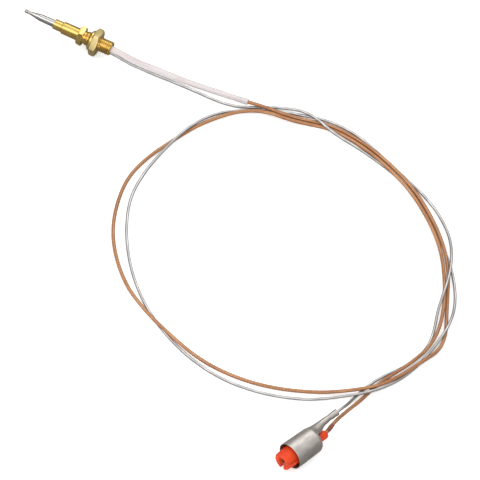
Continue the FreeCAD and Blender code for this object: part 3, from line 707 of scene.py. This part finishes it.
def box_work(low, high, turn, place):
    """A box along X between two corners, rolled about X and then placed."""
    work = bmesh.new()
    bmesh.ops.create_cube(work, size=1.0)
    size = Vector(high) - Vector(low)
    middle = (Vector(high) + Vector(low)) / 2
    bmesh.ops.scale(work, verts=work.verts, vec=size)
    bmesh.ops.translate(work, verts=work.verts, vec=middle)
    bmesh.ops.rotate(work, verts=work.verts, cent=(0, 0, 0), matrix=Matrix.Rotation(turn, 3, "X"))
    bmesh.ops.transform(work, matrix=place, verts=work.verts)
    return work


def frames_along(line):
    """Points along a line, each with two steady directions across it."""
    result = []
    side = None
    for index, point in enumerate(line):
        before = line[max(index - 1, 0)]
        after = line[min(index + 1, len(line) - 1)]
        tangent = (after - before).normalized()
        if side is None:
            side = tangent.cross(Vector((0, 0, 1))).normalized()
        side = (side - tangent * side.dot(tangent)).normalized()
        result.append((point, side, tangent.cross(side)))
    return result


def stretch_of(line, start, end):
    """The part of a line between two lengths along it."""
    travelled = 0.0
    chosen = []
    for before, after in zip(line, line[1:]):
        if start <= travelled <= end:
            chosen.append(before)
        travelled += (after - before).length
    return chosen


def cross_section(point, side, lift, radii):
    """A ring of points round one place on a line, with a radius for each."""
    ring = []
    for step, radius in enumerate(radii):
        angle = FULL_TURN * step / len(radii)
        ring.append(point + (side * math.cos(angle) + lift * math.sin(angle)) * radius)
    return ring


def hose(line, radius_at, inner, steps):
    """A hollow flexible tube along a line, and how many rows of points its outside has."""
    frames = frames_along(line)
    outside = []
    inside = []
    for number, (point, side, lift) in enumerate(frames):
        share = number / (len(frames) - 1)
        radii = [radius_at(share, step / steps) for step in range(steps)]
        outside.append(cross_section(point, side, lift, radii))
        inside.append(cross_section(point, side, lift, [inner] * steps))
    return ring_mesh(outside + inside[::-1]), len(frames)


def wrap_coordinates(piece, rows, steps):
    """Coordinates along and around a hose, in the order its vertices were made."""
    mesh = piece.data
    layer = mesh.uv_layers.new(name="wrap")
    for polygon in mesh.polygons:
        indices = [mesh.loops[loop].vertex_index for loop in polygon.loop_indices]
        around = [(index % steps) / steps for index in indices]
        seam = max(around) - min(around) > 0.5
        for loop, index, turn in zip(polygon.loop_indices, indices, around):
            row = index // steps
            along = row if row < rows else 2 * rows - 1 - row
            layer.data[loop].uv = (along / (rows - 1), turn + 1 if seam and turn < 0.5 else turn)


# ------------------------------------------------------------------ probe


def make_probe():
    """Weld bead, stainless sheath and the brass barrel that grips it."""
    bead = [(-36.0, 0.0), (-35.95, 0.45), (-35.65, 0.88), (-35.1, 1.13), (-34.6, 1.14),
            (-34.15, 1.0), (-33.95, 0.93), (-33.8, 0.5), (-33.8, 0.0)]
    add_piece("weld_bead", revolve(rounded(bead, 0.5), 64, wobble=0.09), weld,
              ROOT_BODY, "hot_junction_bead", 60)
    sheath = [(-34.0, 0.0), (-34.0, 0.93), (-33.2, 0.96), (-32.2, 0.96), (-31.4, 1.12),
              (-26.9, 1.92), (-26.0, 1.99), (-18.0, 2.14), (-13.4, 2.15), (-13.4, 1.4),
              (-26.5, 1.4), (-31.0, 0.5)]
    add_piece("steel_sheath", revolve(rounded(sheath, 0.9), 96), steel,
              ROOT_BODY, "sensing_sheath", 40)
    barrel = [(-18.0, 2.16), (-18.0, 2.9), (-13.25, 2.9), (-13.2, 2.66), (-12.8, 2.66),
              (-12.8, 2.5), (-8.0, 2.5), (-8.0, 1.6), (-13.4, 1.6), (-13.4, 2.16)]
    add_piece("brass_front_collar", revolve(rounded(barrel, 0.22), 96), brass,
              ROOT_BODY, "front_collar")


# ------------------------------------------------------------------ fitting

COLLAR_FLATS = 10.0
NUT_FLATS = 14.0
NUT_REST_TURN = math.radians(48.0)
THREAD_PITCH = 1.0
PUNCH_ALONG = 10.1
PUNCH_TURN = math.radians(148.0)
PUNCH_RADIUS = 0.8
PUNCH_CENTRE = 3.9
PUNCH_FLOOR = 3.2
BORE_SIDE = 3.3


def punch(work, spot):
    """Presses a round dimple into the points near a spot."""
    for vertex in work.verts:
        distance = (vertex.co - spot).length
        radius = math.hypot(vertex.co.y, vertex.co.z)
        if distance < PUNCH_RADIUS and radius > BORE_SIDE:
            depth = math.sqrt(PUNCH_RADIUS ** 2 - distance ** 2)
            inwards = max(0.0, radius - PUNCH_CENTRE + depth)
            share = (radius - min(inwards, radius - PUNCH_FLOOR)) / radius
            vertex.co.y *= share
            vertex.co.z *= share


def make_fitting():
    """Brass pilot, hexagonal collar and threaded stub, with a punch mark in the thread."""
    pilot = [(-12.8, 2.5), (-12.8, 3.5), (-2.0, 3.52), (-0.4, 3.5), (0.95, 3.48), (1.05, 3.3),
             (1.05, 3.1), (1.0, 1.6), (-8.0, 1.6), (-8.0, 2.5)]
    work = revolve(rounded(pilot, 0.18), 120)
    chamfered_hexagon(front=-3.3, rear=0.0, flats=COLLAR_FLATS, bore=3.3, corner_turn=0.0,
                      bore_chamfer=0.05, work=work)
    helical_thread(start=0.95, end=16.5, crest=4.0, depth=0.42, pitch=THREAD_PITCH, bore=3.1,
                   end_chamfer=0.55, steps=120, work=work)
    punch(work, around_x(PUNCH_ALONG, PUNCH_CENTRE, PUNCH_TURN))
    add_piece("brass_fitting", work, brass, ROOT_BODY, "mounting_body")
    potting = [(9.4, 0.0), (9.4, 3.08), (13.3, 3.08), (13.05, 2.7), (12.8, 1.4), (12.7, 0.0)]
    add_piece("cement_potting", revolve(rounded(potting, 0.2), 64, wobble=0.12), cement,
              ROOT_BODY, "rear_potting", 50)


def make_washer():
    """Dished spring washer, rounded by pressing."""
    outline = [(3.1, 4.07), (3.1, 4.5), (4.16, 5.78), (5.16, 5.78), (4.1, 4.07)]
    add_piece("pressed_washer", revolve(rounded(outline, 0.16), 120), washer_brass,
              "washer", "dished_washer")


def make_nut():
    """Hexagonal nut with turned chamfers on both faces."""
    work = chamfered_hexagon(front=5.2, rear=9.3, flats=NUT_FLATS, bore=4.04,
                             corner_turn=NUT_REST_TURN, bore_chamfer=0.45, chamfer_share=0.94)
    add_piece("brass_nut", work, nut_brass, "nut", "mounting_nut")


# ------------------------------------------------------------------ sleeve and leads

SLEEVE_START = 0.7
SLEEVE_END = 88.5
SLEEVE_RADIUS = 1.70
SLEEVE_BORE = 1.08
SLEEVE_STEPS = 40
MOUTH_FLARE = 0.14
MOUTH_START = 0.97
MOUTH_SHARE = 0.03


def make_sleeve():
    """Pale sleeving over the start of the brown lead, a little flattened and uneven."""
    line = stretch_of(brown_line, SLEEVE_START, SLEEVE_END)

    def radius_at(share, turn):
        swell = 0.05 * math.sin(17 * share + 1.0) + 0.03 * math.sin(41 * share)
        oval = 0.05 * math.cos(2 * FULL_TURN * turn + 3 * share)
        mouth = MOUTH_FLARE * max(0.0, (share - MOUTH_START) / MOUTH_SHARE) ** 2
        return SLEEVE_RADIUS + swell + oval + mouth

    work, rows = hose(line, radius_at, SLEEVE_BORE, SLEEVE_STEPS)
    piece = add_piece("pale_sleeving", work, sleeve_cover, ROOT_BODY, "heat_sleeve", 50)
    wrap_coordinates(piece, rows, SLEEVE_STEPS)
    return piece


# ------------------------------------------------------------------ plug

PLUG_PLACE = Matrix.Translation((214.2, -201.8, 0.1)) @ Matrix.Rotation(PLUG_TURN, 4, "Z")
TAIL_TURN = math.radians(24.1)
BUSH_CENTRE = (-1.34, -0.6)
SLOT_TURN = math.radians(259.0)
RIB_TURN = math.radians(156.0)
CONTACT_SLITS = 3
FIRST_SLIT = 20
SLIT_SPACING = 60
TAIL_WALL = 0.42
TAIL_ROWS = 6
TAIL_STEPS = 28

# The tail at stations along the plug: place along it, distance of the strip's centre from
# the plug's axis, radius of the bend, half of its angle and the way it faces, in degrees.
TAIL_STATIONS = [
    (12.5, 0.0, 7.30, 34, 44), (15.5, 0.0, 7.26, 38, 46), (17.6, 0.35, 6.95, 46, 50),
    (19.4, 1.5, 5.40, 60, 55), (21.5, 2.6, 4.00, 80, 64), (24.5, 3.5, 2.90, 104, 72),
    (27.4, 4.1, 2.20, 136, 78), (29.0, 4.3, 1.98, 156, 80), (31.5, 4.4, 1.88, 166, 80),
    (33.6, 4.4, 1.62, 168, 80), (35.2, 4.4, 1.80, 166, 80), (38.6, 4.4, 1.86, 160, 80),
    (39.5, 4.4, 1.94, 150, 80),
]


def placed(work):
    """Moves what was modelled along X from the shell's rim to where the plug lies."""
    bmesh.ops.transform(work, matrix=PLUG_PLACE, verts=work.verts)
    return work


def tail_section(along, centre, radius, half_angle, facing):
    """One ring of the tail: a strip bent round its own centre, whose middle faces one way."""
    ring = []
    outward = [(half_angle * (2 * step / TAIL_STEPS - 1), radius)
               for step in range(TAIL_STEPS + 1)]
    inward = [(angle, radius - TAIL_WALL) for angle, _ in reversed(outward)]
    for angle, reach in outward + inward:
        across = facing + angle
        ring.append(Vector((along,
                            centre * math.cos(TAIL_TURN) + reach * math.cos(across),
                            centre * math.sin(TAIL_TURN) + reach * math.sin(across))))
    return ring


def smooth_between(stations, count):
    """Values of several stations spread evenly along them by smooth interpolation."""
    result = []
    for index in range(len(stations) - 1):
        before = stations[max(index - 1, 0)]
        start = stations[index]
        end = stations[index + 1]
        after = stations[min(index + 2, len(stations) - 1)]
        for step in range(count):
            share = step / count
            values = []
            for p0, p1, p2, p3 in zip(before, start, end, after):
                values.append(0.5 * (2 * p1 + (p2 - p0) * share
                                     + (2 * p0 - 5 * p1 + 4 * p2 - p3) * share ** 2
                                     + (3 * p1 - p0 - 3 * p2 + p3) * share ** 3))
            result.append(values)
    result.append(list(stations[-1]))
    return result


def make_shell():
    """Drawn shell whose rear narrows into a strip that is rolled round the grey lead."""
    cup = [(0.0, 7.3), (0.0, 7.8), (17.0, 7.42), (18.5, 6.7), (18.9, 5.6), (18.9, 0.0),
           (18.4, 0.0), (18.4, 5.4), (18.1, 6.3), (16.7, 6.95)]
    work = revolve(rounded(cup, 0.45), 144)
    shell = add_piece("steel_shell", placed(work), shell_steel, ROOT_BODY, "plug_shell")
    hole = revolve([(16.0, 0.0), (16.0, 2.5), (20.0, 2.5), (20.0, 0.0)], 64)
    bmesh.ops.translate(hole, verts=hole.verts, vec=(0, *BUSH_CENTRE))
    carve(shell, placed(hole))
    sections = [tail_section(along, centre, radius, math.radians(half), math.radians(facing))
                for along, centre, radius, half, facing in smooth_between(TAIL_STATIONS, TAIL_ROWS)]
    tail = ring_mesh(sections, closed_loop=False)
    bmesh.ops.holes_fill(tail, edges=[edge for edge in tail.edges if edge.is_boundary], sides=0)
    tail_piece = add_piece("steel_crimp_tail", placed(tail), shell_steel, ROOT_BODY,
                           "plug_shell", 40)
    return shell, tail_piece


def make_insert():
    """Orange insert: stepped nose with a keying slot and a shallow rib groove."""
    outline = [(-6.0, 2.3), (-6.0, 4.95), (-5.6, 5.22), (0.5, 5.6), (9.0, 5.6), (9.0, 6.9),
               (14.0, 6.9), (14.0, 1.76), (-4.4, 1.76), (-4.5, 2.2)]
    insert = add_piece("orange_insert", placed(revolve(rounded(outline, 0.25), 144)), orange,
                       ROOT_BODY, "plug_insert")
    carve(insert, box_work((-7.0, 0.0, -1.2), (0.5, 7.0, 1.2), SLOT_TURN, PLUG_PLACE))
    carve(insert, box_work((-4.6, 5.0, -0.35), (0.6, 7.0, 0.35), RIB_TURN, PLUG_PLACE))
    return insert


def make_contact():
    """Pressed brass contact: a tube split into leaves that lean inwards."""
    outline = [(-5.2, 1.12), (-5.35, 1.3), (-5.2, 1.6), (-3.0, 1.73), (5.5, 1.73), (5.5, 1.3),
               (9.0, 1.3), (9.0, 0.55), (5.5, 0.55), (5.4, 1.1), (-2.0, 1.25)]
    contact = add_piece("brass_contact", placed(revolve(rounded(outline, 0.1), 72)),
                        contact_brass, ROOT_BODY, "centre_contact")
    for number in range(CONTACT_SLITS):
        turn = math.radians(FIRST_SLIT + SLIT_SPACING * number)
        carve(contact, box_work((-6.5, -3.0, -0.22), (2.5, 3.0, 0.22), turn, PLUG_PLACE))
    return contact


def make_bush():
    """Orange collar behind the shell, with a waist and a rounded rear lip."""
    outline = [(12.0, 1.06), (12.0, 2.4), (19.3, 2.4), (19.6, 2.2), (20.3, 2.2), (20.7, 2.45),
               (25.4, 2.45), (26.3, 1.9), (26.3, 1.06)]
    work = revolve(rounded(outline, 0.3), 96)
    bmesh.ops.translate(work, verts=work.verts, vec=(0, *BUSH_CENTRE))
    return add_piece("orange_rear_collar", placed(work), orange, ROOT_BODY, "rear_bush")


# The ferrule's ends, as lengths before the end of the brown lead.
FERRULE_START = 14.4
FERRULE_END = 8.6
FERRULE_RADIUS = 1.24
FERRULE_BORE = 1.0
FERRULE_STEPS = 32
FERRULE_WAIST = 0.05
FERRULE_RIPPLE = 0.03


def make_ferrule():
    """Dark reddish sleeve shrunk over the brown lead behind the collar."""
    total = line_length(brown_line)
    line = stretch_of(brown_line, total - FERRULE_START, total - FERRULE_END)

    def radius_at(share, turn):
        swell = FERRULE_WAIST * math.cos(FULL_TURN * share)
        ripple = FERRULE_RIPPLE * math.sin(FULL_TURN * (2 * turn + share))
        return FERRULE_RADIUS - swell + ripple

    work, rows = hose(line, radius_at, FERRULE_BORE, FERRULE_STEPS)
    piece = add_piece("dark_red_ferrule", work, ferrule_plastic, ROOT_BODY, "wire_ferrule",
                      50)
    wrap_coordinates(piece, rows, FERRULE_STEPS)
    return piece


# ------------------------------------------------------------------ assembly

make_probe()
make_fitting()
make_washer()
make_nut()
sleeve = make_sleeve()
shell, tail = make_shell()
insert = make_insert()
contact = make_contact()
bush = make_bush()
ferrule = make_ferrule()

for node_name, material in CAD_MATERIALS.items():
    cad_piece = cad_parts[node_name]
    for material_slot in cad_piece.material_slots:
        material_slot.link = "OBJECT"
        material_slot.material = material

brown.data.materials.append(brown_braid)
silver.data.materials.append(grey_gloss)
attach(brown, ROOT_BODY)
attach(silver, ROOT_BODY)
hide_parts("brown_lead")
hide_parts("silver_lead")

# ------------------------------------------------------------------ stage and light


FLOOR_HEIGHT = -7.7
FLOOR_GAP = 0.02
FLOOR_REACH = 30.0
FLOOR_GLOW = 0.42


def make_floor():
    """Plain pale floor that looks darker to the metal's reflections."""
    mesh = bpy.data.meshes.new("floor")
    reach = FLOOR_REACH
    height = (FLOOR_HEIGHT - FLOOR_GAP) * MM
    mesh.from_pydata([(-reach, -reach, height), (reach, -reach, height), (reach, reach, height),
                      (-reach, reach, height)], [], [(0, 1, 2, 3)])
    floor = bpy.data.objects.new("floor", mesh)
    bpy.context.collection.objects.link(floor)
    nodes = Nodes("pale_floor")
    cloud = nodes.noise((6, 6, 6), detail=2.0)
    colour = nodes.ramp(cloud, [(0.3, (0.90, 0.90, 0.90)), (0.7, (0.93, 0.93, 0.93))])
    rays = nodes.add("ShaderNodeLightPath")
    seen_in_metal = rays.outputs["Is Glossy Ray"]
    colour = nodes.mix(seen_in_metal, colour, (0.26, 0.25, 0.24))
    glow = nodes.span(seen_in_metal, FLOOR_GLOW, 0.0)
    nodes.finish(colour, 0.9)
    nodes.link(glow, nodes.shader.inputs["Emission Strength"])
    nodes.shader.inputs["Emission Color"].default_value = (1, 1, 1, 1)
    mesh.materials.append(nodes.material)


def add_area(name, place, size, power, colour=(1, 1, 1)):
    """A soft lamp that points at the middle of the loop."""
    data = bpy.data.lights.new(name, "AREA")
    data.shape = "RECTANGLE"
    data.size, data.size_y = size
    data.energy = power
    data.color = colour
    lamp = bpy.data.objects.new(name, data)
    lamp.location = place
    lamp.rotation_mode = "QUATERNION"
    lamp.rotation_quaternion = (AIM - Vector(place)).to_track_quat("-Z", "Y")
    bpy.context.collection.objects.link(lamp)


def make_light():
    """Pale room, darker below, with two large lamps above and two strips at the sides."""
    world = bpy.data.worlds.new("studio")
    bpy.context.scene.world = world
    world.use_nodes = True
    tree = world.node_tree
    background = tree.nodes["Background"]
    coordinates = tree.nodes.new("ShaderNodeTexCoord")
    split = tree.nodes.new("ShaderNodeSeparateXYZ")
    ramp = tree.nodes.new("ShaderNodeValToRGB")
    tree.links.new(coordinates.outputs["Generated"], split.inputs[0])
    tree.links.new(split.outputs["Z"], ramp.inputs["Fac"])
    tree.links.new(ramp.outputs["Color"], background.inputs["Color"])
    levels = [(0.0, 0.24), (0.25, 0.32), (0.6, 0.85), (1.0, 0.98)]
    fill_ramp(ramp.color_ramp, [(position, (level, level, level)) for position, level in levels])
    background.inputs["Strength"].default_value = 1.0
    add_area("overhead", (0.0, 0.95, 1.25), (1.0, 0.4), 3.5)
    add_area("above_camera", (-0.24, -0.95, 1.27), (1.2, 0.7), 4.5)
    add_area("left_strip", (-0.9, -0.5, 0.9), (0.4, 1.0), 4, (1.0, 0.97, 0.92))
    add_area("front_strip", (0.7, -1.1, 0.7), (1.0, 0.25), 3)


make_floor()
make_light()
view_settings = bpy.context.scene.view_settings
view_settings.view_transform = "Standard"
view_settings.exposure = 0.0
